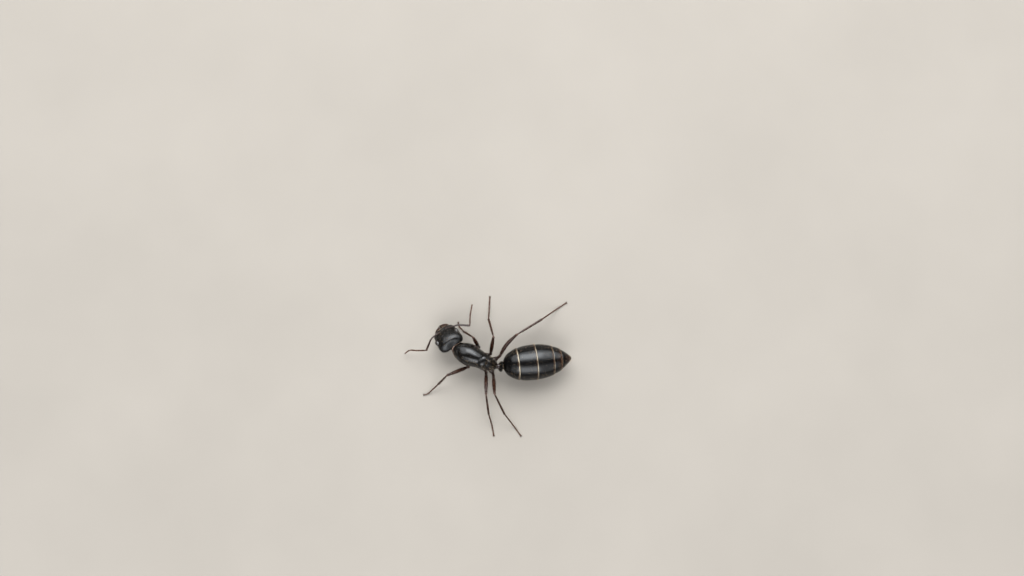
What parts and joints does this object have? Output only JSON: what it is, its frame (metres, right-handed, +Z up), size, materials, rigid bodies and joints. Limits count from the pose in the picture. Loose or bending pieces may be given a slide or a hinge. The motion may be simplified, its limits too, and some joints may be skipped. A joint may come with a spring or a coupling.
{
  "type": "carpenter ant queen model",
  "caption": "Life-size still model of a black carpenter ant queen without wings, standing on its feet with the head turned to its left.",
  "frame": {"origin": "middle of the ant's bounds in plan, on the floor that the six soles stand on", "axes": "+X towards the ant's left, +Y back along the body from head to gaster, +Z up"},
  "size_m": [0.0156, 0.0184, 0.0044],
  "materials": {
    "chitin_black": "polished black shell with a fine cross grain",
    "chitin_brown": "dark red-brown shell, satin",
    "eye": "dark, finely faceted"
  },
  "bodies": {
    "root": {"head": "chitin_black", "pronotum": "chitin_black", "mesothorax": "chitin_black", "scutellum": "chitin_black", "propodeum": "chitin_black", "petiole": "chitin_black", "gaster_1": "chitin_black", "gaster_2": "chitin_black", "gaster_3": "chitin_black", "gaster_4": "chitin_black", "gaster_5": "chitin_black", "eye_left": "eye", "mandible_left": "chitin_brown", "antenna_left_scape": "chitin_black", "antenna_left_funiculus": "chitin_brown", "eye_right": "eye", "mandible_right": "chitin_brown", "antenna_right_scape": "chitin_black", "antenna_right_funiculus": "chitin_brown", "leg_front_left_coxa": "chitin_brown", "leg_front_left_femur": "chitin_brown", "leg_front_left_tibia": "chitin_brown", "leg_front_left_tarsus": "chitin_brown", "leg_front_right_coxa": "chitin_brown", "leg_front_right_femur": "chitin_brown", "leg_front_right_tibia": "chitin_brown", "leg_front_right_tarsus": "chitin_brown", "leg_middle_left_coxa": "chitin_brown", "leg_middle_left_femur": "chitin_brown", "leg_middle_left_tibia": "chitin_brown", "leg_middle_left_tarsus": "chitin_brown", "leg_middle_right_coxa": "chitin_brown", "leg_middle_right_femur": "chitin_brown", "leg_middle_right_tibia": "chitin_brown", "leg_middle_right_tarsus": "chitin_brown", "leg_hind_left_coxa": "chitin_brown", "leg_hind_left_femur": "chitin_brown", "leg_hind_left_tibia": "chitin_brown", "leg_hind_left_tarsus": "chitin_brown", "leg_hind_right_coxa": "chitin_brown", "leg_hind_right_femur": "chitin_brown", "leg_hind_right_tibia": "chitin_brown", "leg_hind_right_tarsus": "chitin_brown"}
  },
  "joints": []
}
